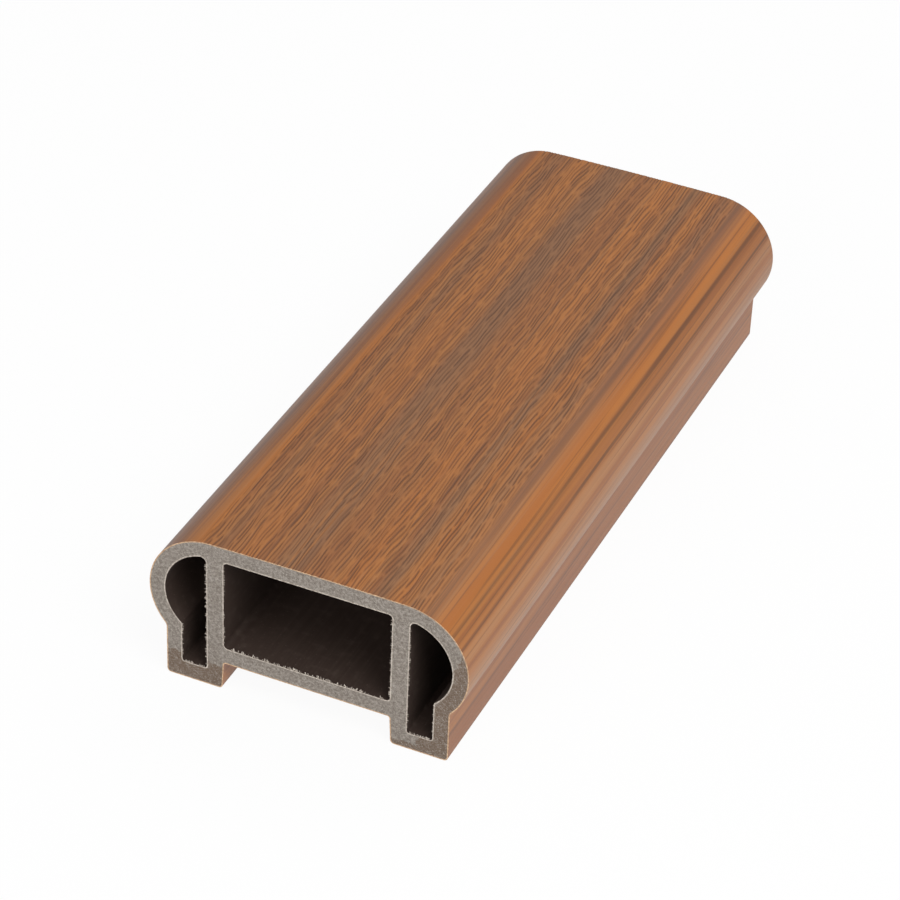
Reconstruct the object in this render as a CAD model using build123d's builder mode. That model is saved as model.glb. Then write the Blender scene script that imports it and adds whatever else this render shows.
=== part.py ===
"""Composite top rail: a hollow handrail profile of wood-plastic composite, cut to a short length.

The rail is one extrusion. Two round lobes carry a slightly crowned deck, each lobe necks in to a
straight skirt, and between the two legs an open channel takes the rail's support. Inside are a wide
centre chamber and, in each lobe and leg, a side chamber that keeps an even wall.

Lengths are in millimetres. The origin is on the floor under the middle of the rail. X runs across
the rail, Y along it and Z up.
"""

import math
import os

from build123d import *

# Overall size
rail_length = 245.0
rail_width = 100.0
rail_height = 51.0
crown_rise = 0.25

# Lobes and skirts
lobe_radius = 20.0
lobe_wall = 5.0
skirt_setback = 5.3
skirt_wall = 5.0
foot_thickness = 5.7

# Webs, deck and floor of the centre chamber
web_thickness = 5.5
deck_thickness = 5.4
floor_thickness = 5.5

# Channel under the rail
channel_width = 52.5
channel_depth = 9.5
channel_draft = 0.5

# Rounded corners
neck_radius = 2.0
foot_radius = 1.3
channel_radius = 0.8
centre_chamber_radius = 1.3
side_chamber_radius = 0.8
shoulder_radius = 1.0
web_top_radius = 1.7

# Places that follow from the sizes
lobe_top = rail_height - crown_rise
lobe_x = rail_width / 2 - lobe_radius
lobe_z = lobe_top - lobe_radius
lobe_bore = lobe_radius - lobe_wall
skirt_x = rail_width / 2 - skirt_setback
channel_x = channel_width / 2
mouth_x = channel_x + channel_draft
web_x = channel_x + web_thickness
slot_x = skirt_x - skirt_wall
chamber_bottom = channel_depth + floor_thickness
chamber_top = rail_height - deck_thickness


def reach(radius, offset):
    """Half the chord of a circle at this offset from its centre."""
    return math.sqrt(radius**2 - offset**2)


def nearest(corners, *points):
    """The corner nearest to each point."""
    return [corners.sort_by_distance((x, z, 0))[0] for x, z in points]


# The crown is one arc that runs tangent into both lobes
crown_radius = lobe_radius + (lobe_x**2 + crown_rise**2) / (2 * crown_rise)
crown_centre_z = rail_height - crown_radius
tangent_scale = crown_radius / (crown_radius - lobe_radius)
tangent_x = lobe_x * tangent_scale
tangent_z = crown_centre_z + (lobe_z - crown_centre_z) * tangent_scale

# Corners that are named by where two faces meet
neck_z = lobe_z - reach(lobe_radius, skirt_x - lobe_x)
shoulder_z = lobe_z - reach(lobe_bore, slot_x - lobe_x)
web_top_z = lobe_z + reach(lobe_bore, web_x - lobe_x)


# Outer outline, from the lobes down to the feet, with the channel cut out
with BuildSketch() as outline:
    with Locations((-lobe_x, lobe_z), (lobe_x, lobe_z)):
        Circle(lobe_radius)
    with BuildLine():
        ThreePointArc((-tangent_x, tangent_z), (0, rail_height), (tangent_x, tangent_z))
        Polyline((tangent_x, tangent_z), (lobe_x, lobe_z), (-lobe_x, lobe_z), (-tangent_x, tangent_z))
    make_face()
    Rectangle(2 * skirt_x, lobe_z, align=(Align.CENTER, Align.MIN))
    with BuildLine():
        Polyline(
            (-mouth_x, 0),
            (-channel_x, channel_depth),
            (channel_x, channel_depth),
            (mouth_x, 0),
            close=True,
        )
    make_face(mode=Mode.SUBTRACT)
    necks = nearest(outline.vertices(), (-skirt_x, neck_z), (skirt_x, neck_z))
    fillet(necks, neck_radius)
    ceiling_corners = nearest(outline.vertices(), (-channel_x, channel_depth), (channel_x, channel_depth))
    fillet(ceiling_corners, channel_radius)
    foot_corners = outline.vertices().group_by(Axis.Y)[0]
    fillet(foot_corners, foot_radius)

# Wide chamber between the webs
with BuildSketch() as centre_chamber:
    with Locations((0, chamber_bottom)):
        Rectangle(channel_width, chamber_top - chamber_bottom, align=(Align.CENTER, Align.MIN))
    fillet(centre_chamber.vertices(), centre_chamber_radius)

# Chamber that follows the lobe from the inside and runs down the leg as a slot
with BuildSketch() as side_chamber:
    with Locations((lobe_x, lobe_z)):
        Circle(lobe_bore)
    with Locations((web_x, lobe_z)):
        Rectangle(2 * lobe_bore, 2 * lobe_bore, align=(Align.MAX, Align.CENTER), mode=Mode.SUBTRACT)
    with Locations((web_x, foot_thickness)):
        Rectangle(slot_x - web_x, lobe_z - foot_thickness, align=(Align.MIN, Align.MIN))
    fillet(nearest(side_chamber.vertices(), (slot_x, shoulder_z)), shoulder_radius)
    fillet(nearest(side_chamber.vertices(), (web_x, web_top_z)), web_top_radius)
    fillet(side_chamber.vertices().group_by(Axis.Y)[0], side_chamber_radius)
    mirror(about=Plane.YZ)

# The whole section, drawn upright and extruded both ways from the middle of the rail
with BuildPart() as top_rail:
    with BuildSketch(Plane.XZ):
        add(outline.sketch)
        add(centre_chamber.sketch, mode=Mode.SUBTRACT)
        add(side_chamber.sketch, mode=Mode.SUBTRACT)
    extrude(amount=rail_length / 2, both=True)

top_rail.part.label = "top_rail"
os.makedirs("parts", exist_ok=True)
export_step(top_rail.part, "parts/top_rail.step")
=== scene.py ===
"""Looks of a short length of composite top rail.

The rail is one hollow extrusion. Its whole outside carries a printed wood skin, embossed with
short strokes of grain on the deck. The sawn ends show the grey body, the thin edge of the skin and
the ragged burrs that the saw left along the chambers. Lengths are in metres.
"""

import logging
import math
from dataclasses import dataclass, field
from enum import Enum
from functools import reduce
from typing import Any

import bmesh
import bpy
import numpy as np
from bmesh.types import BMesh, BMVert
from bpy.types import Material, Mesh, Node, NodeTree, Object
from bpy.types import NodeSocket as Socket
from mathutils import Matrix, Vector


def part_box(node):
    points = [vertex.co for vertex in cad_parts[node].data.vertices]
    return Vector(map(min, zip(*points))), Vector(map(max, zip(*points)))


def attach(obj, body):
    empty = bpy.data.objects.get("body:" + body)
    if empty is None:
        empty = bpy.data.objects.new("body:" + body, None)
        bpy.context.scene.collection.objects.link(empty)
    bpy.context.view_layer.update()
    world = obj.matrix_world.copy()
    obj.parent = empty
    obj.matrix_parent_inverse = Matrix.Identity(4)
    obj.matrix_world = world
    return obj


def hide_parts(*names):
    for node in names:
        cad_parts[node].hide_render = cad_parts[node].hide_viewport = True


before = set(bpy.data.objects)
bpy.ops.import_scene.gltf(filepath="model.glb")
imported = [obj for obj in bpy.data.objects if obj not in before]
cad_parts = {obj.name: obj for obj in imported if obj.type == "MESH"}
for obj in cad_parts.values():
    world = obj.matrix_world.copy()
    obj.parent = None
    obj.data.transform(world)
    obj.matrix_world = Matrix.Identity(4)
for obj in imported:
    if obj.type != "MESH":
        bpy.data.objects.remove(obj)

MM = 0.001
WELD = 0.001 * MM
QUARTER_TURN = math.pi / 2
FULL_TURN = 2 * math.pi
CAD_NODE = "top_rail"
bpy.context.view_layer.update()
log = logging.getLogger("composite_rail")

Colour = tuple[float, float, float]
Pair = tuple[float, float]
Feed = Socket | float | tuple[float, ...]


class Tone(Enum):
    """Inks of the printed wood skin, in linear colour. Walnut and oak also paint the shade in the embossed
    strokes and the highlight on the ridges between them.
    """

    HONEY = (0.37, 0.135, 0.030)
    AMBER = (0.44, 0.140, 0.018)
    CHESTNUT = (0.27, 0.092, 0.024)
    WALNUT = (0.10, 0.038, 0.014)
    ASH = (0.20, 0.098, 0.048)
    OAK = (0.38, 0.185, 0.078)


class Slot(Enum):
    """Material slots of the rail's mesh."""

    SKIN = 0
    SAWN = 1
    SKIN_EDGE = 2
    CHAMBER = 3
    RIM = 4


class NodeBoard:
    """One node tree, with short calls that add a node and wire it.

    Attributes:
        tree: The node tree that the calls add to.
    """

    # Places of the amount, the two colours and the mixed colour among a Mix node's sockets.
    MIX_AMOUNT, MIX_FIRST, MIX_SECOND, MIX_RESULT = 0, 6, 7, 2

    def __init__(self, tree: NodeTree) -> None:
        """Opens a board on a node tree."""
        self.tree = tree

    def add(self, kind: str, **settings: Any) -> Node:
        """Adds a node.

        Args:
            kind: Blender's name for the node type.
            settings: Properties set on the node.

        Returns:
            The new node.
        """
        node = self.tree.nodes.new(kind)
        for name, value in settings.items():
            setattr(node, name, value)
        return node

    def feed(self, socket: Socket, value: Feed) -> None:
        """Links a socket to another, or writes a plain value on it.

        Args:
            socket: The input that is fed.
            value: An output socket or a value. A colour may leave out its fourth number.
        """
        if isinstance(value, Socket):
            self.tree.links.new(value, socket)
        elif isinstance(value, tuple):
            socket.default_value = (*value, 1.0)[: len(socket.default_value)]
        else:
            socket.default_value = value

    def node(self, kind: str, feeds: dict[Any, Feed], output: Any = 0, **settings: Any) -> Socket:
        """Adds a node, feeds its inputs and gives one of its outputs.

        Args:
            kind: Blender's name for the node type.
            feeds: What its inputs take, each by the input's name or place.
            output: The output's name or place.
            settings: Properties set on the node.

        Returns:
            The output.
        """
        node = self.add(kind, **settings)
        for name, value in feeds.items():
            self.feed(node.inputs[name], value)
        return node.outputs[output]

    def math(self, operation: str, *values: Feed, clamp: bool = False) -> Socket:
        """Adds a Math node, which may keep its result between 0 and 1."""
        return self.node("ShaderNodeMath", dict(enumerate(values)), operation=operation, use_clamp=clamp)

    def plus(self, first: Feed, second: Feed) -> Socket:
        """Adds two values."""
        return self.math("ADD", first, second)

    def minus(self, first: Feed, second: Feed) -> Socket:
        """Takes the second value from the first."""
        return self.math("SUBTRACT", first, second)

    def times(self, *values: Feed) -> Socket:
        """Multiplies values, from the first to the last."""
        return reduce(lambda first, second: self.math("MULTIPLY", first, second), values)

    def rest(self, value: Feed) -> Socket:
        """Gives what a value leaves of 1, and never less than 0."""
        return self.math("SUBTRACT", 1.0, value, clamp=True)

    def ramp(self, value: Feed, low: float, high: float) -> Socket:
        """Turns a value into a smooth mask, 0 at the low value and 1 at the high one."""
        feeds = {"Value": value, "From Min": low, "From Max": high}
        return self.node("ShaderNodeMapRange", feeds, "Result", interpolation_type="SMOOTHSTEP")

    def mix(self, amount: Feed, first: Feed, second: Feed) -> Socket:
        """Mixes two colours by the second one's share."""
        feeds = {self.MIX_AMOUNT: amount, self.MIX_FIRST: first, self.MIX_SECOND: second}
        return self.node("ShaderNodeMix", feeds, self.MIX_RESULT, data_type="RGBA")

    def lay(self, colour: Feed, over: Feed, mask: Feed, cover: float) -> Socket:
        """Lays a second colour over the first through a mask, at a set strength."""
        return self.mix(self.times(mask, cover), colour, over)

    def vector(self, x: Feed, y: Feed, z: Feed) -> Socket:
        """Joins three values into a vector."""
        return self.node("ShaderNodeCombineXYZ", {0: x, 1: y, 2: z})

    def axes(self, where: Socket) -> list[Socket]:
        """Splits a place into X, Y and Z."""
        return list(self.node("ShaderNodeSeparateXYZ", {0: where}).node.outputs)

    def object_place(self) -> Socket:
        """Gives the place on the object."""
        return self.node("ShaderNodeTexCoord", {}, "Object")

    def stored(self, name: str) -> Socket:
        """Gives a value that the mesh stores at its vertices."""
        return self.node("ShaderNodeAttribute", {}, "Fac", attribute_name=name)

    def noise(self, where: Feed, scale: float = 1.0, detail: float = 2.0) -> Socket:
        """Adds noise from 0 to 1. The scale counts its waves for each unit of the place."""
        return self.node("ShaderNodeTexNoise", {"Vector": where, "Scale": scale, "Detail": detail}, "Fac")

    def bump(self, height: Feed, depth: float, strength: float) -> Socket:
        """Bumps the normal. A height of 1 stands for the depth."""
        feeds = {"Height": height, "Distance": depth, "Strength": strength}
        return self.node("ShaderNodeBump", feeds, "Normal")

    def group(self, tree: NodeTree, **values: Feed) -> Socket:
        """Places a shared effect, with its inputs by name, and gives its only output."""
        return self.node("ShaderNodeGroup", values, node_tree=tree)


def open_group(name: str, inputs: dict[str, str], output: str) -> tuple[NodeBoard, Any, Socket]:
    """Opens a new node group with its sockets.

    Args:
        name: The group's name.
        inputs: Each input's name and whether it is a Float or a Vector.
        output: The output's name.

    Returns:
        The board, the group's inputs and the socket that takes its result.
    """
    tree = bpy.data.node_groups.new(name, "ShaderNodeTree")
    for label, kind in inputs.items():
        tree.interface.new_socket(label, in_out="INPUT", socket_type=f"NodeSocket{kind}")
    tree.interface.new_socket(output, in_out="OUTPUT", socket_type="NodeSocketFloat")
    board = NodeBoard(tree)
    entry = board.add("NodeGroupInput")
    leave = board.add("NodeGroupOutput")
    return board, entry.outputs, leave.inputs[0]


def open_material(name: str) -> tuple[Material, NodeBoard, Node]:
    """Starts a material with a Principled shader.

    Args:
        name: The material's name.

    Returns:
        The material, its board and its Principled node.
    """
    material = bpy.data.materials.new(name)
    material.use_nodes = True
    board = NodeBoard(material.node_tree)
    return material, board, material.node_tree.nodes["Principled BSDF"]


def place_piece(name: str, mesh: BMesh, *materials: Material) -> Object:
    """Turns a finished mesh into an object in the scene.

    Args:
        name: The object's name.
        mesh: Its mesh, which is freed.
        materials: Its materials, in the order of their slots.

    Returns:
        The object.
    """
    data = bpy.data.meshes.new(name)
    mesh.to_mesh(data)
    mesh.free()
    for material in materials:
        data.materials.append(material)
    piece = bpy.data.objects.new(name, data)
    bpy.context.scene.collection.objects.link(piece)
    return piece


def read_values(items: Any, name: str, width: int = 1, kind: type = float) -> np.ndarray:
    """Reads one property of all vertices, corners or faces of a mesh.

    Args:
        items: The mesh's list of them.
        name: The property.
        width: How many numbers it has.
        kind: Type of number.

    Returns:
        The values, with a row for each item where the width is over 1.
    """
    values = np.empty(len(items) * width, dtype=kind)
    items.foreach_get(name, values)
    return values.reshape(-1, width) if width > 1 else values


class Effects:
    """Effects that several finishes share, each a node group that is built once."""

    DRIFT_WIDTH = 0.15
    DRIFT_SCALE = 0.6
    DRIFT_REACH = 1.6
    SCRATCH_LENGTH = 3.2 * MM
    SCRATCH_WIDTH = 0.26 * MM
    SCRATCH_EDGE = (0.56, 0.72)
    SPECK_CHOICE = (0.55, 0.75)

    def __init__(self) -> None:
        """Builds the groups."""
        self.long_grain = self._long_grain()
        self.saw_scratches = self._saw_scratches()
        self.specks = self._specks()

    def _long_grain(self) -> NodeTree:
        """Noise drawn out into long streaks, which drift a little from side to side.

        Returns:
            The group, with a value near 0.5 that rises and falls from streak to streak.
        """
        names = dict.fromkeys(("Across", "Along", "Width", "Length", "Seed"), "Float")
        board, given, result = open_group("long_grain", names, "Value")
        across = board.math("DIVIDE", given["Across"], given["Width"])
        along = board.math("DIVIDE", given["Along"], given["Length"])
        slow = board.vector(board.times(across, self.DRIFT_WIDTH), along, given["Seed"])
        drift = board.times(board.noise(slow, self.DRIFT_SCALE, 1.0), self.DRIFT_REACH)
        place = board.vector(board.plus(across, drift), along, given["Seed"])
        board.feed(result, board.noise(place, 1.0, 3.0))
        return board.tree

    def _saw_scratches(self) -> NodeTree:
        """Fine straight scratches that the saw's teeth leave on a cut, at one slant.

        Returns:
            The group, with a mask that is 1 in the middle of a scratch.
        """
        names = dict.fromkeys(("Across", "Up", "Slant", "Seed"), "Float")
        board, given, result = open_group("saw_scratches", names, "Mask")
        across, up = given["Across"], given["Up"]
        cosine = board.math("COSINE", given["Slant"])
        sine = board.math("SINE", given["Slant"])
        forward = board.plus(board.times(across, cosine), board.times(up, sine))
        sideways = board.minus(board.times(up, cosine), board.times(across, sine))
        place = board.vector(
            board.math("DIVIDE", forward, self.SCRATCH_LENGTH),
            board.math("DIVIDE", sideways, self.SCRATCH_WIDTH),
            given["Seed"],
        )
        board.feed(result, board.ramp(board.noise(place), *self.SCRATCH_EDGE))
        return board.tree

    def _specks(self) -> NodeTree:
        """Small scattered specks, such as fibre ends and dust.

        Returns:
            The group, with a mask that is 1 on a speck.
        """
        names = {"Place": "Vector", "Pitch": "Float", "Reach": "Float"}
        board, given, result = open_group("specks", names, "Mask")
        scale = board.math("DIVIDE", 1.0, given["Pitch"])
        scaled = board.node("ShaderNodeVectorMath", {0: given["Place"], "Scale": scale}, operation="SCALE")
        away = board.node("ShaderNodeTexVoronoi", {"Vector": scaled, "Scale": 1.0}, "Distance", feature="F1")
        near = board.rest(board.math("DIVIDE", away, given["Reach"]))
        chosen = board.node("ShaderNodeSeparateColor", {0: away.node.outputs["Color"]})
        board.feed(result, board.times(near, board.ramp(chosen, *self.SPECK_CHOICE)))
        return board.tree


@dataclass(frozen=True)
class Streak:
    """One printed streak that runs the length of the rail.

    Attributes:
        across: Its middle, measured over the skin from the crown.
        width: Its width between the places where it has faded out.
        tone: Its ink.
        strength: How much of the ink covers what is below.
    """

    across: float
    width: float
    tone: Tone
    strength: float


@dataclass(frozen=True)
class GrainScale:
    """How the shared long grain is drawn in one place.

    Attributes:
        width: Width of a streak.
        length: Length of a streak.
        seed: Which pattern is drawn.
        edges: Values of the grain between which a mask of it rises.
    """

    width: float
    length: float
    seed: float
    edges: Pair = (0.0, 1.0)


@dataclass(frozen=True)
class SkinCanvas:
    """The skin's material while it is built, and the distances over and along the skin."""

    board: NodeBoard
    effects: Effects
    across: Socket
    along: Socket

    def grain(self, scale: GrainScale) -> Socket:
        """Places the shared long grain at one scale."""
        sizes = {"Width": scale.width, "Length": scale.length, "Seed": scale.seed}
        return self.board.group(self.effects.long_grain, Across=self.across, Along=self.along, **sizes)

    def mask(self, scale: GrainScale) -> Socket:
        """Places the shared long grain as a mask between the scale's edges."""
        return self.board.ramp(self.grain(scale), *scale.edges)


@dataclass(frozen=True)
class SkinFinish:
    """Printed and embossed wood skin.

    The grains are named after their work: ground mixes the two ground tones, wandering and breaks
    shift the streaks and thin them out, dark and pale lie over them, and hair lies on the deck.

    Attributes:
        embossed_roughness: Roughness added on the embossed deck.
        uneven_roughness: Roughness added where the polish is worst.
        wander: How far a streak may wander to both sides.
        streaks: Streaks laid over the ground, in order.
    """

    effects: Effects
    roughness: float = 0.40
    embossed_roughness: float = 0.12
    uneven_roughness: float = 0.10
    wander: float = 3 * MM
    ground: GrainScale = GrainScale(3 * MM, 260 * MM, 3.0, (0.40, 0.60))
    wandering: GrainScale = GrainScale(9 * MM, 190 * MM, 11.0)
    breaks: GrainScale = GrainScale(1.5 * MM, 150 * MM, 17.0, (0.22, 0.52))
    dark: GrainScale = GrainScale(0.7 * MM, 120 * MM, 23.0, (0.52, 0.68))
    pale: GrainScale = GrainScale(1.1 * MM, 140 * MM, 29.0, (0.56, 0.72))
    hair: GrainScale = GrainScale(0.26 * MM, 14 * MM, 41.0, (0.54, 0.66))
    polish: GrainScale = GrainScale(1.2 * MM, 18 * MM, 31.0)
    relief: GrainScale = GrainScale(0.35 * MM, 7 * MM, 37.0)
    streaks: tuple[Streak, ...] = tuple(
        Streak(across * MM, width * MM, tone, strength)
        for across, width, tone, strength in (
            (-78, 60, Tone.CHESTNUT, 0.75),
            (-58, 22, Tone.ASH, 0.55),
            (-44, 20, Tone.WALNUT, 0.66),
            (-33.5, 4, Tone.AMBER, 0.60),
            (-27, 6, Tone.ASH, 0.45),
            (-19, 8, Tone.AMBER, 0.40),
            (-6, 15, Tone.ASH, 0.75),
            (4, 6, Tone.CHESTNUT, 0.50),
            (13, 11, Tone.AMBER, 0.60),
            (22, 5.5, Tone.ASH, 0.75),
            (21.5, 0.8, Tone.WALNUT, 0.75),
            (27.5, 5, Tone.AMBER, 0.60),
            (32.5, 4, Tone.ASH, 0.45),
            (37.5, 5, Tone.WALNUT, 0.60),
            (42.7, 6.5, Tone.AMBER, 0.55),
            (46.2, 1.8, Tone.WALNUT, 0.65),
            (50.8, 1.6, Tone.WALNUT, 0.75),
            (54, 6, Tone.OAK, 0.55),
            (64, 16, Tone.OAK, 0.60),
            (86, 26, Tone.CHESTNUT, 0.55),
            (84, 1.4, Tone.WALNUT, 0.50),
        )
    )

    def material(self) -> Material:
        """Builds the material.

        Returns:
            The skin's material.
        """
        material, board, shader = open_material("wood_skin")
        uv = board.add("ShaderNodeUVMap", uv_map="skin_map")
        across, along, _ = board.axes(uv.outputs[0])
        canvas = SkinCanvas(board, self.effects, across, along)
        embossed = board.stored("embossed")
        # The strokes get painted shade and the ridges between them a painted highlight, over the printed
        # colour.
        colour = self._strokes(canvas, self._print(canvas), board.stored("groove"), embossed)
        board.feed(shader.inputs["Base Color"], colour)
        rough = board.plus(board.times(embossed, self.embossed_roughness), self.roughness)
        uneven = board.times(canvas.grain(self.polish), self.uneven_roughness)
        board.feed(shader.inputs["Roughness"], board.plus(rough, uneven))
        board.feed(shader.inputs["Normal"], board.bump(canvas.grain(self.relief), 0.05 * MM, 0.55))
        return material

    def _print(self, canvas: SkinCanvas) -> Socket:
        """Lays the ground tones, the streaks and the fine grain over them.

        Args:
            canvas: The skin's material while it is built.

        Returns:
            The printed colour.
        """
        board = canvas.board
        ground = canvas.mask(self.ground)
        colour = board.mix(ground, Tone.CHESTNUT.value, Tone.HONEY.value)
        wander = board.times(board.minus(canvas.grain(self.wandering), 0.5), self.wander)
        moved = board.plus(canvas.across, wander)
        breaks = canvas.mask(self.breaks)
        for streak in self.streaks:
            gap = board.math("ABSOLUTE", board.minus(moved, streak.across))
            cover = board.rest(board.ramp(gap, 0.1 * streak.width, 0.5 * streak.width))
            cover = board.times(cover, board.times(breaks, streak.strength))
            colour = board.mix(cover, colour, streak.tone.value)
        dark = canvas.mask(self.dark)
        colour = board.lay(colour, Tone.WALNUT.value, dark, 0.50)
        pale = canvas.mask(self.pale)
        return board.lay(colour, Tone.OAK.value, pale, 0.30)

    def _strokes(self, canvas: SkinCanvas, colour: Socket, groove: Socket, embossed: Socket) -> Socket:
        """Darkens the embossed strokes with painted shade and brightens the ridges between them with a
        painted highlight, then lays the hair grain on the deck.

        Args:
            canvas: The skin's material while it is built.
            colour: The printed colour.
            groove: Depth of the embossing, from 0 to 1, which sets the painted shade and highlight.
            embossed: 1 on the deck and 0 on the smooth lobes.

        Returns:
            The colour with painted shade in its strokes and a painted highlight on its ridges.
        """
        board = canvas.board
        # Painted highlight: the ridges between the strokes are lightened towards oak.
        ridge_highlight = board.times(board.rest(board.times(groove, 2.2)), embossed)
        colour = board.lay(colour, Tone.OAK.value, ridge_highlight, 0.16)
        hair = board.times(canvas.mask(self.hair), embossed)
        colour = board.lay(colour, Tone.WALNUT.value, hair, 0.32)
        # Painted shade: the strokes are darkened towards walnut, the more the deeper they are pressed.
        return board.lay(colour, Tone.WALNUT.value, groove, 0.95)


@dataclass(frozen=True)
class StainPatch:
    """A browner patch on the sawn face, on one side of a straight line.

    Attributes:
        across: A point of the line, across the rail.
        up: The same point's height.
        slant: Way that the patch lies from the line, in radians from +X.
        reach: How deep the patch is.
        side: -1 for the left half of the section and 1 for the right.
    """

    across: float
    up: float
    slant: float
    reach: float
    side: int


@dataclass(frozen=True)
class SawnFinish:
    """Grey body as the saw leaves it.

    Attributes:
        shade: Colour of the darker clumps.
        pale: Colour of scratches, grit and fibre ends.
        stain: Colour of the browner patches.
        cloud: Size of the broad darker clouds.
        tear: Size of the tears along a patch's edge.
        slants: Ways that the scratches run, in radians.
    """

    effects: Effects
    body: Colour = (0.300, 0.265, 0.232)
    shade: Colour = (0.165, 0.138, 0.115)
    pale: Colour = (0.52, 0.48, 0.43)
    stain: Colour = (0.125, 0.080, 0.052)
    roughness: float = 0.86
    shine: float = 0.25
    clump: float = 0.9 * MM
    cloud: float = 6 * MM
    grit: float = 0.28 * MM
    tear: float = 2 * MM
    slants: tuple[float, ...] = (1.95, 2.55, 0.35)
    patches: tuple[StainPatch, ...] = (
        StainPatch(-35 * MM, 8.6 * MM, -1.62, 12 * MM, -1),
        StainPatch(35 * MM, 2.4 * MM, -1.57, 12 * MM, 1),
        StainPatch(43.6 * MM, 28 * MM, -0.35, 12 * MM, 1),
    )

    def material(self) -> Material:
        """Builds the material.

        Returns:
            The sawn face's material.
        """
        material, board, shader = open_material("sawn_body")
        place = board.object_place()
        across, _, up = board.axes(place)
        clumps = board.noise(place, 1 / self.clump, 4.0)
        clouds = board.noise(place, 1 / self.cloud)
        grit = board.noise(place, 1 / self.grit)
        scratches = self._scratches(board, across, up)
        fibres = board.group(self.effects.specks, Place=place, Pitch=0.8 * MM, Reach=0.30)
        colour = board.mix(board.ramp(clumps, 0.70, 0.34), self.body, self.shade)
        for over, mask, cover in (
            (self.shade, board.ramp(clouds, 0.45, 0.70), 0.25),
            (self.stain, self._stains(board, place, across, up), 0.90),
            (self.pale, board.ramp(grit, 0.50, 0.75), 0.45),
            (self.shade, board.ramp(grit, 0.48, 0.30), 0.50),
            (self.pale, scratches, 0.38),
            (self.pale, fibres, 0.60),
        ):
            colour = board.lay(colour, over, mask, cover)
        board.feed(shader.inputs["Base Color"], colour)
        shader.inputs["Roughness"].default_value = self.roughness
        shader.inputs["Specular IOR Level"].default_value = self.shine
        height = board.plus(board.times(grit, 0.6), board.times(scratches, 0.5))
        height = board.plus(height, board.times(clumps, 0.6))
        board.feed(shader.inputs["Normal"], board.bump(height, 0.16 * MM, 0.8))
        return material

    def _scratches(self, board: NodeBoard, across: Socket, up: Socket) -> Feed:
        """Joins the scratches of all slants.

        Args:
            board: The material's board.
            across: Place across the rail.
            up: Height.

        Returns:
            A mask that is 1 in a scratch.
        """
        mask: Feed = 0.0
        for number, slant in enumerate(self.slants):
            values = {"Across": across, "Up": up, "Slant": slant, "Seed": float(number)}
            mask = board.math("MAXIMUM", mask, board.group(self.effects.saw_scratches, **values))
        return mask

    def _stains(self, board: NodeBoard, place: Socket, across: Socket, up: Socket) -> Feed:
        """Masks the browner patches, with ragged edges.

        Args:
            board: The material's board.
            place: Place on the object.
            across: Place across the rail.
            up: Height.

        Returns:
            A mask that is 1 in a patch.
        """
        ragged = board.times(board.minus(board.noise(place, 1 / self.tear, 3.0), 0.5), 3 * MM)
        mask: Feed = 0.0
        for patch in self.patches:
            sideways = board.times(board.minus(across, patch.across), math.cos(patch.slant))
            upwards = board.times(board.minus(up, patch.up), math.sin(patch.slant))
            from_line = board.plus(sideways, upwards)
            inside = board.ramp(board.plus(from_line, ragged), 0.0, 0.5 * MM)
            own_side = board.math("GREATER_THAN", board.times(across, patch.side), 0.0)
            near = board.math("LESS_THAN", from_line, patch.reach)
            mask = board.math("MAXIMUM", mask, board.times(inside, own_side, near))
        return mask


@dataclass(frozen=True)
class EdgeFinish:
    """A thin line where the saw broke through an edge, torn into pale and warm bits."""

    effects: Effects
    name: str
    pale: Colour
    warm: Colour
    roughness: float = 0.8
    tear: float = 0.7 * MM

    def material(self) -> Material:
        """Builds the material.

        Returns:
            The edge's material.
        """
        material, board, shader = open_material(self.name)
        place = board.object_place()
        torn = board.noise(place, 1 / self.tear, 3.0)
        colour = board.mix(board.ramp(torn, 0.35, 0.62), self.warm, self.pale)
        crumbs = board.group(self.effects.specks, Place=place, Pitch=0.5 * MM, Reach=0.4)
        board.feed(shader.inputs["Base Color"], board.lay(colour, self.pale, crumbs, 0.5))
        shader.inputs["Roughness"].default_value = self.roughness
        board.feed(shader.inputs["Normal"], board.bump(torn, 0.12 * MM, 0.6))
        return material


@dataclass(frozen=True)
class ChamberFinish:
    """Dark moulded wall of the chambers, with dust and fine die lines."""

    effects: Effects
    wall: Colour = (0.040, 0.024, 0.018)
    dust: Colour = (0.13, 0.10, 0.08)
    roughness: float = 0.62
    cloud: float = 3 * MM

    def material(self) -> Material:
        """Builds the material.

        Returns:
            The chamber wall's material.
        """
        material, board, shader = open_material("chamber_wall")
        place = board.object_place()
        x, along, z = board.axes(place)
        sizes = {"Width": 0.9 * MM, "Length": 60 * MM, "Seed": 5.0}
        lines = board.group(self.effects.long_grain, Across=board.plus(x, z), Along=along, **sizes)
        colour = board.lay(self.wall, self.dust, board.ramp(lines, 0.4, 0.7), 0.10)
        clouds = board.ramp(board.noise(place, 1 / self.cloud, 3.0), 0.5, 0.75)
        colour = board.lay(colour, self.dust, clouds, 0.18)
        crumbs = board.group(self.effects.specks, Place=place, Pitch=1.1 * MM, Reach=0.22)
        board.feed(shader.inputs["Base Color"], board.lay(colour, self.dust, crumbs, 0.8))
        shader.inputs["Roughness"].default_value = self.roughness
        board.feed(shader.inputs["Normal"], board.bump(lines, 0.04 * MM, 0.4))
        return material


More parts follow.
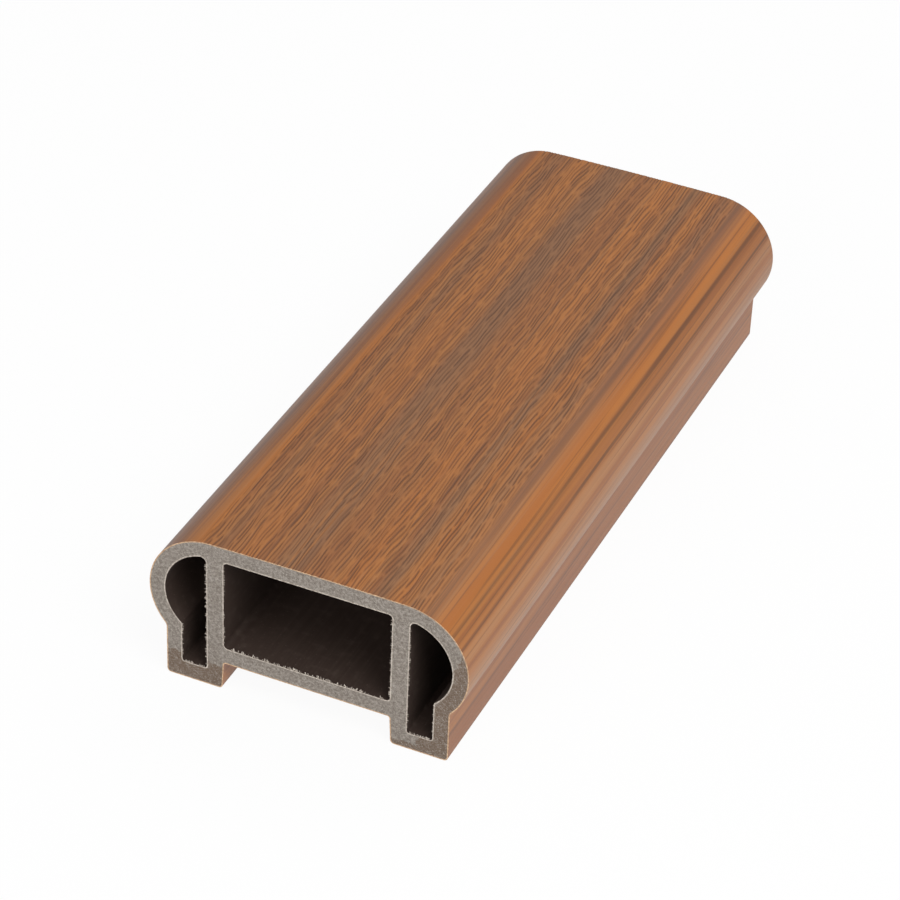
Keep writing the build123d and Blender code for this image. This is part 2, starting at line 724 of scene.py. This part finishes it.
class OutlinePen:
    """Draws a line of the section. The pen is at its tip and always moves forward."""

    def __init__(self, mesh: BMesh, x: float, z: float, heading: float) -> None:
        """Sets the pen down.

        Args:
            mesh: The mesh that takes the line.
            x: Start across the rail.
            z: Start height.
            heading: Way that the pen faces, in radians, clockwise from +X.
        """
        self.mesh = mesh
        self.tip = bmesh.ops.create_vert(mesh, co=(x, 0, z))["vert"][0]
        self.heading = heading

    def forward(self, distance: float, pitch: float) -> None:
        """Draws a straight run.

        Args:
            distance: Its length.
            pitch: Longest step between two vertices.
        """
        steps = max(1, math.ceil(distance / pitch))
        step = Vector((math.cos(self.heading), 0, -math.sin(self.heading))) * (distance / steps)
        for _ in range(steps):
            self.tip = bmesh.ops.extrude_vert_indiv(self.mesh, verts=[self.tip])["verts"][0]
            bmesh.ops.translate(self.mesh, verts=[self.tip], vec=step)

    def arc(self, radius: float, turn: float, pitch: float) -> None:
        """Draws an arc that runs on from the pen's heading.

        Args:
            radius: Its radius.
            turn: How far the heading turns, in radians, clockwise if positive.
            pitch: Longest step between two vertices.
        """
        side = self.heading + math.copysign(QUARTER_TURN, turn)
        toward = Vector((math.cos(side), 0, -math.sin(side)))
        made = bmesh.ops.spin(
            self.mesh,
            geom=[self.tip],
            cent=self.tip.co + toward * radius,
            axis=(0, 1, 0),
            angle=turn,
            steps=max(2, math.ceil(radius * abs(turn) / pitch)),
        )
        self.tip = made["geom_last"][0]
        self.heading += turn


@dataclass(frozen=True)
class EmbossedGrain:
    """Short wavy strokes pressed into the deck.

    Attributes:
        left: Where the embossing ends on the left, over the skin from the crown.
        right: Where it ends on the right.
        fade: How gently it fades out there.
        pitch: Mean distance between two strokes.
        depth: Depth of a full stroke.
        lengths: Shortest and longest stroke.
        taper: Share of a stroke over which each of its ends rises.
        waves: Length, spread and size of the waves of the side drift.
        copies: Number of waves of each kind.
        leans: Least and most that a wave is drawn together.
        calm: What each wave is divided by, because several add up.
        seed: Seed of the waves and of the strokes.
    """

    left: float = -34.5 * MM
    right: float = 37.0 * MM
    fade: float = 1.6 * MM
    pitch: float = 1.12 * MM
    depth: float = 0.17 * MM
    lengths: Pair = (9 * MM, 24 * MM)
    taper: float = 0.16
    waves: tuple[tuple[float, float, float], ...] = (
        (120 * MM, 60 * MM, 0.6 * MM),
        (45 * MM, 21 * MM, 0.26 * MM),
        (20 * MM, 8 * MM, 0.13 * MM),
        (9.5 * MM, 4.6 * MM, 0.05 * MM),
    )
    copies: int = 3
    leans: Pair = (0.6, 1.4)
    calm: float = 1.7
    seed: int = 7

    def area(self, across: np.ndarray) -> np.ndarray:
        """Gives 1 on the embossed part, falling to 0 past its edges."""
        inside = np.minimum(across - self.left, self.right - across)
        return np.clip(inside / self.fade, 0, 1)

    def groove(self, across: np.ndarray, along: np.ndarray) -> np.ndarray:
        """Draws the strokes.

        Args:
            across: Distances over the skin from the crown.
            along: Distances along the rail.

        Returns:
            The strokes' depth, from 0 to 1.
        """
        rng = np.random.default_rng(self.seed)
        moved = across + self._drift(rng, across, along)
        lane = np.floor(moved / self.pitch).astype(int)
        within = moved / self.pitch - lane - 0.5
        lane -= lane.min()
        lanes = lane.max() + 1
        length = rng.uniform(*self.lengths, lanes)[lane]
        run = along / length + rng.uniform(20, 40, lanes)[lane]
        stroke = np.floor(run).astype(int)
        reach = run - stroke
        shape = (lanes, stroke.max() + 1)
        shift, press, thin, slant = (
            rng.uniform(least, most, shape)[lane, stroke]
            for least, most in ((-0.20, 0.20), (0.45, 1.0), (0.12, 0.18), (-0.10, 0.10))
        )
        ends = np.clip(np.minimum(reach, 1 - reach) / self.taper, 0, 1)
        ends = ends * ends * (3 - 2 * ends)
        away = within - shift - slant * (reach - 0.5)
        return self.area(across) * press * ends * np.exp(-(away**2) / (2 * thin**2))

    def _drift(self, rng: np.random.Generator, across: np.ndarray, along: np.ndarray) -> np.ndarray:
        """Side drift that neighbouring strokes share, as a few leaning waves of each kind.

        Args:
            rng: Source of the waves' phases.
            across: Distances over the skin from the crown.
            along: Distances along the rail.

        Returns:
            How far each place drifts.
        """
        drift = np.zeros_like(across)
        for length, spread, size in self.waves:
            for _ in range(self.copies):
                phase = rng.uniform(0, FULL_TURN)
                lean = rng.uniform(*self.leans)
                turn = FULL_TURN * (lean * along / length + across / (lean * spread))
                drift += size * np.sin(turn + phase) / self.calm
        return drift


@dataclass
class RailProfile:
    """The rail's solid: one hollow extrusion with its embossed deck and sawn ends.

    The sizes are named after their places. The deck is the crowned top, a lobe the round shoulder
    beside it, a skirt the straight outside of a leg and a foot its underside. A web stands between
    the centre chamber and a side chamber, whose lower part is the slot. Walls and thicknesses are
    those of the body there, and a pitch is the longest step of the mesh there.

    Attributes:
        low: Lowest corner of the CAD rail.
        high: Highest corner of the CAD rail.
        emboss: The deck's strokes.
        crown_rise: Height of the deck's middle over the tops of the lobes.
        skirt_setback: How far a skirt stands in from its lobe.
        channel_width: Width of the channel at its ceiling.
        channel_draft: How far each of its sides slopes out down to its mouth.
        skin_thickness: Width of the skin's edge and of the rims on the cut.
        rows: Steps of the skin along the rail.
    """

    low: Vector
    high: Vector
    emboss: EmbossedGrain = field(default_factory=EmbossedGrain)
    crown_rise: float = 0.25 * MM
    lobe_radius: float = 20 * MM
    lobe_wall: float = 5 * MM
    skirt_setback: float = 5.3 * MM
    skirt_wall: float = 5 * MM
    foot_thickness: float = 5.7 * MM
    web_thickness: float = 5.5 * MM
    deck_thickness: float = 5.4 * MM
    floor_thickness: float = 5.5 * MM
    channel_width: float = 52.5 * MM
    channel_depth: float = 9.5 * MM
    channel_draft: float = 0.5 * MM
    neck_radius: float = 2 * MM
    foot_radius: float = 1.3 * MM
    channel_radius: float = 0.8 * MM
    centre_radius: float = 1.3 * MM
    side_radius: float = 0.8 * MM
    shoulder_radius: float = 1 * MM
    web_top_radius: float = 1.7 * MM
    skin_thickness: float = 0.35 * MM
    deck_pitch: float = 0.21 * MM
    lobe_pitch: float = 1.1 * MM
    corner_pitch: float = 0.35 * MM
    wall_pitch: float = 3 * MM
    rows: int = 160

    def __post_init__(self) -> None:
        """Works out the places that follow from the sizes."""
        half_width = (self.high.x - self.low.x) / 2
        self.height = self.high.z - self.low.z
        self.length = self.high.y - self.low.y
        self.lobe_x = half_width - self.lobe_radius
        self.lobe_z = self.height - self.crown_rise - self.lobe_radius
        self.lobe_bore = self.lobe_radius - self.lobe_wall
        self.crown_radius = self.lobe_radius + (self.lobe_x**2 + self.crown_rise**2) / (2 * self.crown_rise)
        self.skirt_x = half_width - self.skirt_setback
        self.channel_x = self.channel_width / 2
        self.mouth_x = self.channel_x + self.channel_draft
        self.web_x = self.channel_x + self.web_thickness
        self.slot_x = self.skirt_x - self.skirt_wall
        self.chamber_bottom = self.channel_depth + self.floor_thickness
        self.chamber_top = self.height - self.deck_thickness

    def build(self, materials: dict[Slot, Material]) -> Object:
        """Builds the rail.

        Args:
            materials: The material of each slot.

        Returns:
            The finished piece.
        """
        mesh = bmesh.new()
        tape = mesh.verts.layers.float.new("tape")
        self._measure(self._draw_outline(mesh), tape)
        self._draw_centre_chamber(mesh)
        self._draw_side_chamber(mesh)
        bmesh.ops.mirror(mesh, geom=mesh.verts[:] + mesh.edges[:], axis="X", merge_dist=WELD)
        bmesh.ops.remove_doubles(mesh, verts=mesh.verts[:], dist=WELD)
        self._fill_and_extrude(mesh, tape)
        piece = place_piece("rail_profile", mesh, *(materials[slot] for slot in Slot))
        self._lay_skin_map(piece.data)
        self._press_grain(piece.data)
        return piece

    def _draw_outline(self, mesh: BMesh) -> BMVert:
        """Draws the right half of the outer line, from the crown to the middle of the channel.

        Args:
            mesh: The mesh that takes the line.

        Returns:
            The vertex on the crown.
        """
        crown_turn = math.asin(self.lobe_x / (self.crown_radius - self.lobe_radius))
        neck_reach = self.lobe_radius + self.neck_radius
        neck_across = self.skirt_x + self.neck_radius - self.lobe_x
        neck_drop = math.sqrt(neck_reach**2 - neck_across**2)
        lobe_turn = QUARTER_TURN + math.atan2(neck_drop, neck_across)
        emboss_turn = (self.emboss.right + self.emboss.fade - self.lobe_x) / self.lobe_radius
        foot_turn = QUARTER_TURN - math.atan2(self.channel_draft, self.channel_depth)
        foot_cut = self.foot_radius * math.tan(foot_turn / 2)
        ceiling_cut = self.channel_radius * math.tan(foot_turn / 2)
        slope = math.hypot(self.channel_draft, self.channel_depth)
        pen = OutlinePen(mesh, 0, self.height, 0)
        crown = pen.tip
        pen.arc(self.crown_radius, crown_turn, self.deck_pitch)
        pen.arc(self.lobe_radius, emboss_turn, self.deck_pitch)
        pen.arc(self.lobe_radius, lobe_turn - crown_turn - emboss_turn, self.lobe_pitch)
        pen.arc(self.neck_radius, QUARTER_TURN - lobe_turn, self.corner_pitch)
        pen.forward(self.lobe_z - neck_drop - self.foot_radius, self.wall_pitch)
        pen.arc(self.foot_radius, QUARTER_TURN, self.corner_pitch)
        pen.forward(self.skirt_x - self.foot_radius - self.mouth_x - foot_cut, self.wall_pitch)
        pen.arc(self.foot_radius, foot_turn, self.corner_pitch)
        pen.forward(slope - foot_cut - ceiling_cut, self.wall_pitch)
        pen.arc(self.channel_radius, -foot_turn, self.corner_pitch)
        pen.forward(self.channel_x - ceiling_cut, self.wall_pitch)
        return crown

    def _draw_centre_chamber(self, mesh: BMesh) -> None:
        """Draws the right half of the centre chamber's line.

        Args:
            mesh: The mesh that takes the line.
        """
        half_top = self.channel_x - self.centre_radius
        side = self.chamber_top - self.chamber_bottom - 2 * self.centre_radius
        pen = OutlinePen(mesh, 0, self.chamber_top, 0)
        for distance in (half_top, side):
            pen.forward(distance, self.wall_pitch)
            pen.arc(self.centre_radius, QUARTER_TURN, self.corner_pitch)
        pen.forward(half_top, self.wall_pitch)

    def _draw_side_chamber(self, mesh: BMesh) -> None:
        """Draws the line of the right side chamber.

        Args:
            mesh: The mesh that takes the line.
        """
        top_across = self.web_x + self.web_top_radius - self.lobe_x
        top_rise = math.sqrt((self.lobe_bore - self.web_top_radius) ** 2 - top_across**2)
        top_lean = math.atan2(top_across, top_rise)
        shoulder_across = self.slot_x + self.shoulder_radius - self.lobe_x
        shoulder_drop = math.sqrt((self.lobe_bore + self.shoulder_radius) ** 2 - shoulder_across**2)
        shoulder_turn = math.atan2(shoulder_drop, shoulder_across)
        bottom = self.foot_thickness + self.side_radius
        pen = OutlinePen(mesh, self.web_x, bottom, -QUARTER_TURN)
        pen.forward(self.lobe_z + top_rise - bottom, self.wall_pitch)
        pen.arc(self.web_top_radius, QUARTER_TURN + top_lean, self.corner_pitch)
        pen.arc(self.lobe_bore, QUARTER_TURN + shoulder_turn - top_lean, self.lobe_pitch)
        pen.arc(self.shoulder_radius, -shoulder_turn, self.corner_pitch)
        pen.forward(self.lobe_z - shoulder_drop - bottom, self.wall_pitch)
        pen.arc(self.side_radius, QUARTER_TURN, self.corner_pitch)
        pen.forward(self.slot_x - self.web_x - 2 * self.side_radius, self.wall_pitch)
        pen.arc(self.side_radius, QUARTER_TURN, self.corner_pitch)

    def _measure(self, crown: BMVert, tape: Any) -> None:
        """Writes on each vertex of the outline its distance from the crown, as a tape would read.

        Args:
            crown: The vertex on the crown.
            tape: The layer that takes the distances.
        """
        vertex, edge, run = crown, None, 0.0
        while onward := [e for e in vertex.link_edges if e is not edge]:
            edge = onward[0]
            run += edge.calc_length()
            vertex = edge.other_vert(vertex)
            vertex[tape] = run

    def _fill_and_extrude(self, mesh: BMesh, tape: Any) -> None:
        """Fills the section, sets off the skin's edge, and extrudes the rail in rows.

        Args:
            mesh: The mesh that holds the drawn lines.
            tape: The layer with the distances from the crown.
        """
        outline = {v for v in mesh.verts if v[tape] > 0 or v.co.z > self.chamber_top + MM}
        bmesh.ops.triangle_fill(
            mesh, use_beauty=True, use_dissolve=False, edges=mesh.edges[:], normal=(0, -1, 0)
        )
        for face in mesh.faces:
            face.material_index = Slot.SAWN.value
        ring = bmesh.ops.inset_region(
            mesh,
            faces=mesh.faces[:],
            thickness=self.skin_thickness,
            use_boundary=True,
            use_even_offset=True,
        )["faces"]
        for face in ring:
            on_skin = not outline.isdisjoint(face.verts)
            face.material_index = (Slot.SKIN_EDGE if on_skin else Slot.RIM).value
        skin = {v for e in mesh.edges if e.is_boundary and e.verts[0] in outline for v in e.verts}
        made = bmesh.ops.extrude_face_region(mesh, geom=mesh.faces[:], use_keep_orig=True)["geom"]
        moved = [g for g in made if isinstance(g, BMVert)]
        bmesh.ops.translate(mesh, verts=moved, vec=(0, self.length, 0))
        bmesh.ops.translate(mesh, verts=mesh.verts[:], vec=(0, self.low.y, self.low.z))
        long_edges = [e for e in mesh.edges if e.verts[0].co.y * e.verts[1].co.y < 0]
        for face in {f for e in long_edges for f in e.link_faces}:
            on_skin = not skin.isdisjoint(face.verts)
            face.material_index = (Slot.SKIN if on_skin else Slot.CHAMBER).value
            face.smooth = True
            for edge in face.edges:
                edge.smooth = edge.verts[0].co.y * edge.verts[1].co.y < 0
        skin_edges = [e for e in long_edges if not skin.isdisjoint(e.verts)]
        bmesh.ops.recalc_face_normals(mesh, faces=mesh.faces[:])
        bmesh.ops.subdivide_edges(mesh, edges=skin_edges, cuts=self.rows - 1, use_grid_fill=True)

    def _lay_skin_map(self, data: Mesh) -> None:
        """Lays a map over the skin: distance from the crown, and distance along the rail.

        Args:
            data: The rail's mesh.
        """
        vertex = read_values(data.loops, "vertex_index", kind=np.int32)
        place = read_values(data.vertices, "co", 3)
        tape = read_values(data.attributes["tape"].data, "value")
        corners = read_values(data.polygons, "loop_total", kind=np.int32)
        side = np.repeat(read_values(data.polygons, "center", 3)[:, 0], corners)
        spread = np.column_stack((np.copysign(tape[vertex], side), place[vertex, 1]))
        layer = data.uv_layers.new(name="skin_map")
        layer.data.foreach_set("uv", spread.ravel().astype(np.float32))

    def _press_grain(self, data: Mesh) -> None:
        """Presses the strokes into the deck and notes where they are.

        Args:
            data: The rail's mesh.
        """
        place = read_values(data.vertices, "co", 3)
        normal = read_values(data.vertices, "normal", 3)
        normal[:, 1] = 0
        normal /= np.maximum(np.linalg.norm(normal, axis=1, keepdims=True), 1e-9)
        tape = read_values(data.attributes["tape"].data, "value")
        across = np.copysign(tape, place[:, 0])
        on_deck = (place[:, 2] > self.height - self.lobe_radius / 4) & self._on_outline(place)
        groove = np.where(on_deck, self.emboss.groove(across, place[:, 1]), 0.0)
        embossed = np.where(on_deck, self.emboss.area(across), 0.0)
        place -= normal * (groove * self.emboss.depth)[:, None]
        data.vertices.foreach_set("co", place.ravel())
        for name, values in (("groove", groove), ("embossed", embossed)):
            layer = data.attributes.new(name, "FLOAT", "POINT")
            layer.data.foreach_set("value", values.astype(np.float32))
        data.attributes.remove(data.attributes["tape"])
        data.update()

    def _on_outline(self, place: np.ndarray) -> np.ndarray:
        """Tells which vertices of the deck lie on the outer line.

        Args:
            place: The vertices' places.

        Returns:
            True where a vertex is on the outline.
        """
        x, z = np.abs(place[:, 0]), place[:, 2]
        over_crown = np.hypot(x, z - (self.height - self.crown_radius)) - self.crown_radius
        over_lobe = np.hypot(x - self.lobe_x, z - self.lobe_z) - self.lobe_radius
        gap = np.where(x < self.lobe_x, over_crown, over_lobe)
        return np.abs(gap) < self.skin_thickness / 4


@dataclass(frozen=True)
class BurrRun:
    """A straight stretch of a chamber's edge with burrs.

    Attributes:
        start: Its start, as (x, z).
        end: Its end.
        inward: Way into the chamber, as (x, z).
        count: Number of burrs.
        size: Length of a long burr.
    """

    start: Pair
    end: Pair
    inward: Pair
    count: int
    size: float


@dataclass
class SawBurrs:
    """Ragged shreds that the saw left along the chambers' edges, at both ends.

    Attributes:
        rail: The rail that carries them.
        root: How deep a shred is rooted in the wall.
        thickness: Thickness of the shortest shred at its root.
        slenderness: What a shred's length adds to that.
        buried: How far a shred lies behind the cut, in its own thicknesses.
        lengths: Shortest and longest shred, as shares of its run's size.
        shortness: Power that makes short shreds more common.
        tips: Thinnest and thickest tip, as shares of the root.
        lean: How far a shred leans along the edge to both sides.
        rough: How far its corners are moved, in its own thicknesses.
        sides: Number of sides of a shred.
        slot_share: Where the slots' straight sides end, as a share of the bore below its middle.
        web_rise: How far the burrs of a web reach over the lobe's middle.
        seed: Seed of their places and sizes.
    """

    rail: RailProfile
    root: float = 0.12 * MM
    thickness: float = 0.09 * MM
    slenderness: float = 0.16
    buried: float = 1.3
    lengths: Pair = (0.3, 1.0)
    shortness: float = 1.5
    tips: Pair = (0.15, 0.6)
    lean: float = 0.5
    rough: float = 0.25
    sides: int = 5
    slot_share: float = 0.76
    web_rise: float = 12 * MM
    seed: int = 11

    def build(self, material: Material) -> Object:
        """Builds all burrs as one piece.

        Args:
            material: Their material.

        Returns:
            The finished piece.
        """
        rng = np.random.default_rng(self.seed)
        mesh = bmesh.new()
        for end in (-1, 1):
            for run in self._runs():
                for _ in range(run.count):
                    self._shred(mesh, rng, run, end)
        bmesh.ops.recalc_face_normals(mesh, faces=mesh.faces[:])
        return place_piece("saw_burrs", mesh, material)

    def _runs(self) -> list[BurrRun]:
        """Lists the edges with burrs.

        Returns:
            The stretches on both sides.
        """
        rail = self.rail
        inset, inner = rail.centre_radius, rail.side_radius
        left, right = -rail.channel_x, rail.channel_x
        bottom, top, foot = rail.chamber_bottom, rail.chamber_top, rail.foot_thickness
        slot_top = rail.lobe_z - rail.lobe_bore * self.slot_share
        web_top = rail.lobe_z + self.web_rise
        runs = [
            BurrRun((left + inset, bottom), (right - inset, bottom), (0, 1), 120, 0.8 * MM),
            BurrRun((left, bottom + inset), (left, top - inset), (1, 0), 34, 0.45 * MM),
            BurrRun((right, bottom + inset), (right, top - inset), (-1, 0), 60, 0.65 * MM),
            BurrRun((left + inset, top), (right - inset, top), (0, -1), 40, 0.3 * MM),
        ]
        for side, web_count, size in ((-1, 85, 0.7 * MM), (1, 46, 0.4 * MM)):
            web, slot = side * rail.web_x, side * rail.slot_x
            near, far = web + side * inner, slot - side * inner
            runs += [
                BurrRun((web, foot + inner), (web, web_top), (side, 0), web_count, size),
                BurrRun((slot, foot + inner), (slot, slot_top), (-side, 0), 26, 0.45 * MM),
                BurrRun((near, foot), (far, foot), (0, 1), 26, 0.6 * MM),
            ]
        return runs

    def _shred(self, mesh: BMesh, rng: np.random.Generator, run: BurrRun, end: int) -> None:
        """Adds one shred, rooted in the wall and pointing into the chamber.

        Args:
            mesh: The mesh that takes it.
            rng: Source of its place and size.
            run: The stretch that carries it.
            end: -1 for the near end and 1 for the far end.
        """
        start, finish, inward = Vector(run.start), Vector(run.end), Vector(run.inward)
        foot = start.lerp(finish, rng.uniform())
        long = run.size * rng.uniform(*self.lengths) ** self.shortness
        thick = self.thickness + self.slenderness * long
        lean = (finish - start).normalized() * rng.uniform(-self.lean, self.lean)
        way = (inward + lean).normalized()
        middle = foot + inward * (0.5 * long - self.root)
        depth = self.rail.length / 2 - thick * self.buried
        turn = Vector((way.x, 0, way.y)).to_track_quat("Z", "Y").to_matrix().to_4x4()
        place = Matrix.Translation((middle.x, end * depth, self.rail.low.z + middle.y)) @ turn
        made = bmesh.ops.create_cone(
            mesh,
            cap_ends=True,
            segments=self.sides,
            radius1=thick,
            radius2=thick * rng.uniform(*self.tips),
            depth=long + 2 * self.root,
            matrix=place,
        )
        for vertex in made["verts"]:
            vertex.co += Vector(rng.uniform(-self.rough, self.rough, 3) * thick)


@dataclass(frozen=True)
class Lamp:
    """One square soft box: the length of its side, and its power in watts."""

    name: str
    place: tuple[float, float, float]
    size: float
    power: float


@dataclass(frozen=True)
class Studio:
    """Pale floor, soft light and the camera. Angles are in degrees, the lens in millimetres.

    Attributes:
        sky: Strength of the light from all round.
        floor_white: Share of plain white in the floor that the camera sees.
        azimuth: The camera's bearing from the near end's front.
        distance: Its distance from the near end.
        slide_right: Where the near end lies to the right of the line of sight.
        slide_up: Where the near end lies above that line.
    """

    lamps: tuple[Lamp, ...] = (
        Lamp("key_light", (1.1, -0.7, 1.5), 1.1, 22.0),
        Lamp("front_light", (-0.1, -1.9, 0.8), 1.2, 13.0),
        Lamp("back_light", (0.3, 1.3, 1.5), 1.0, 5.0),
    )
    sky: float = 0.48
    floor_size: float = 12.0
    floor_white: float = 0.94
    paper: Colour = (0.85, 0.85, 0.85)
    lens: float = 134.07
    sensor: float = 36.0
    azimuth: float = 23.043
    elevation: float = 35.328
    roll: float = 2.483
    distance: float = 958.238 * MM
    slide_right: float = -41.312 * MM
    slide_up: float = -75.848 * MM

    def build(self, near_end: float) -> None:
        """Builds the stage around the rail.

        Args:
            near_end: Where the near end lies along the rail.
        """
        self._floor()
        self._world()
        for lamp in self.lamps:
            self._hang(lamp)
        self._camera(near_end)
        bpy.context.scene.view_settings.view_transform = "Standard"

    def _floor(self) -> None:
        """Lays the floor, white to the eye and with the rail's shadow."""
        material, board, shader = open_material("floor_paper")
        board.tree.nodes.remove(shader)
        paper = board.node("ShaderNodeBsdfDiffuse", {"Color": self.paper})
        white = board.node("ShaderNodeEmission", {})
        path = board.add("ShaderNodeLightPath").outputs
        seen = board.math("MAXIMUM", path["Is Camera Ray"], path["Is Glossy Ray"])
        seen = board.math("MAXIMUM", seen, path["Is Transmission Ray"])
        shares = {0: board.times(seen, self.floor_white), 1: paper, 2: white}
        blend = board.node("ShaderNodeMixShader", shares)
        board.feed(board.tree.nodes["Material Output"].inputs["Surface"], blend)
        mesh = bmesh.new()
        bmesh.ops.create_grid(mesh, x_segments=1, y_segments=1, size=self.floor_size / 2)
        floor = place_piece("floor", mesh, material)

    def _world(self) -> None:
        """Sets the light from all round, white to the eye."""
        world = bpy.data.worlds.new("studio")
        world.use_nodes = True
        board = NodeBoard(world.node_tree)
        background = board.tree.nodes["Background"].inputs
        background["Color"].default_value = (1, 1, 1, 1)
        path = board.add("ShaderNodeLightPath").outputs
        extra = board.times(path["Is Camera Ray"], 1.0 - self.sky)
        board.feed(background["Strength"], board.plus(extra, self.sky))
        bpy.context.scene.world = world

    def _hang(self, lamp: Lamp) -> None:
        """Hangs one soft box so that it faces the rail.

        Args:
            lamp: The soft box.
        """
        data = bpy.data.lights.new(lamp.name, "AREA")
        data.shape = "SQUARE"
        data.size = lamp.size
        data.energy = lamp.power
        light = bpy.data.objects.new(lamp.name, data)
        light.location = lamp.place
        light.rotation_euler = Vector(lamp.place).to_track_quat("Z", "Y").to_euler()
        bpy.context.scene.collection.objects.link(light)

    def _camera(self, near_end: float) -> None:
        """Sets up the camera from the rail's near end.

        Args:
            near_end: Where the near end lies along the rail.
        """
        azimuth, elevation, roll = (math.radians(a) for a in (self.azimuth, self.elevation, self.roll))
        level = math.cos(elevation)
        back = Vector((math.sin(azimuth) * level, -math.cos(azimuth) * level, math.sin(elevation)))
        level_right = Vector((math.cos(azimuth), math.sin(azimuth), 0))
        level_up = back.cross(level_right)
        right = level_right * math.cos(roll) + level_up * math.sin(roll)
        up = level_up * math.cos(roll) - level_right * math.sin(roll)
        eye = back * self.distance - right * self.slide_right - up * self.slide_up
        eye.y += near_end
        data = bpy.data.cameras.new("camera")
        data.lens = self.lens
        data.sensor_width = self.sensor
        camera = bpy.data.objects.new("camera", data)
        camera.matrix_world = Matrix.Translation(eye) @ Matrix((right, up, back)).transposed().to_4x4()
        bpy.context.scene.collection.objects.link(camera)
        bpy.context.scene.camera = camera


def report(piece: Object) -> None:
    """Logs a piece's name and how many triangles it has."""
    triangles = sum(len(face.vertices) - 2 for face in piece.data.polygons)
    log.info("%s: %d triangles", piece.name, triangles)


def main() -> None:
    """Builds the rail, its burrs and the studio, in that order."""
    logging.basicConfig(level=logging.INFO)
    effects = Effects()
    rim = EdgeFinish(effects, "torn_rim", pale=(0.56, 0.50, 0.43), warm=(0.30, 0.25, 0.21))
    skin_edge = EdgeFinish(effects, "skin_edge", pale=(0.62, 0.42, 0.26), warm=(0.36, 0.22, 0.13))
    finishes = {
        Slot.SKIN: SkinFinish(effects),
        Slot.SAWN: SawnFinish(effects),
        Slot.SKIN_EDGE: skin_edge,
        Slot.CHAMBER: ChamberFinish(effects),
        Slot.RIM: rim,
    }
    materials = {slot: finish.material() for slot, finish in finishes.items()}
    rail = RailProfile(*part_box(CAD_NODE))
    profile = rail.build(materials)
    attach(profile, "root")
    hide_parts(CAD_NODE)
    report(profile)
    burrs = SawBurrs(rail).build(materials[Slot.RIM])
    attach(burrs, "root")
    report(burrs)
    Studio().build(rail.low.y)


if __name__ == "__main__":
    main()
